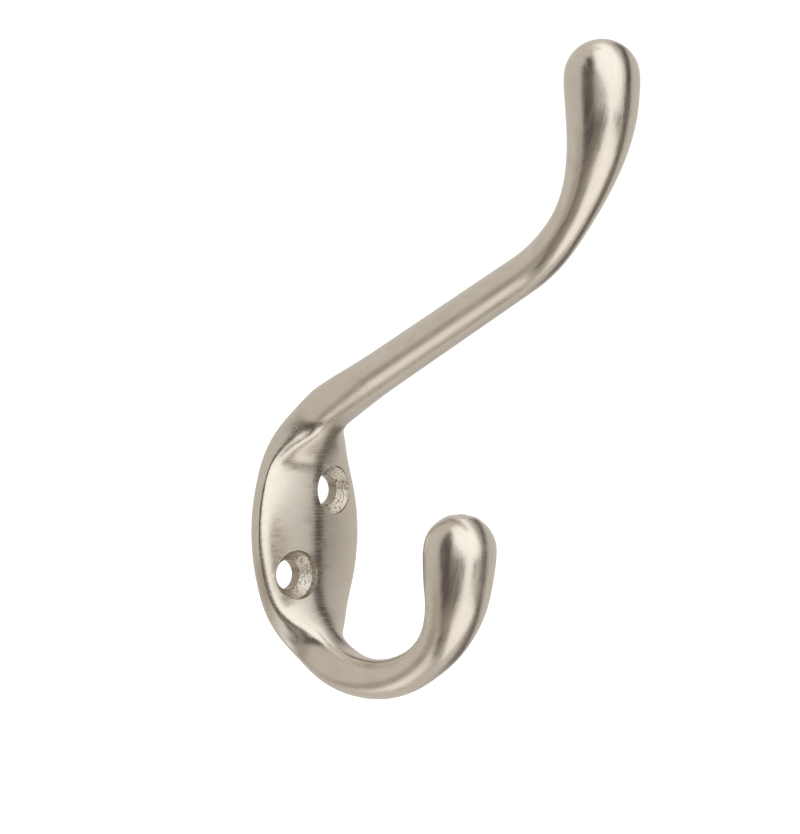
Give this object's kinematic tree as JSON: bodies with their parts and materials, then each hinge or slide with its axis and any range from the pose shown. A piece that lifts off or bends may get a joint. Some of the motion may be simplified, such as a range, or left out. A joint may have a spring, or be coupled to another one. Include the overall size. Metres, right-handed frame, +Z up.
{
  "type": "coat and hat hook",
  "caption": "Cast coat-and-hat hook with a leaf-shaped wall plate, countersunk screw holes, a long raised prong above and a short upturned hook below, both ending in round knobs.",
  "frame": {"origin": "centre of the wall plate's flat back", "axes": "+Y into the wall, +Z up along the wall, +X to the right as seen from the front"},
  "size_m": [0.0226, 0.0814, 0.1096],
  "materials": {
    "satin_nickel": "satin nickel plating on a zinc casting, finely brushed"
  },
  "bodies": {
    "root": {"hook": "satin_nickel"}
  },
  "joints": []
}
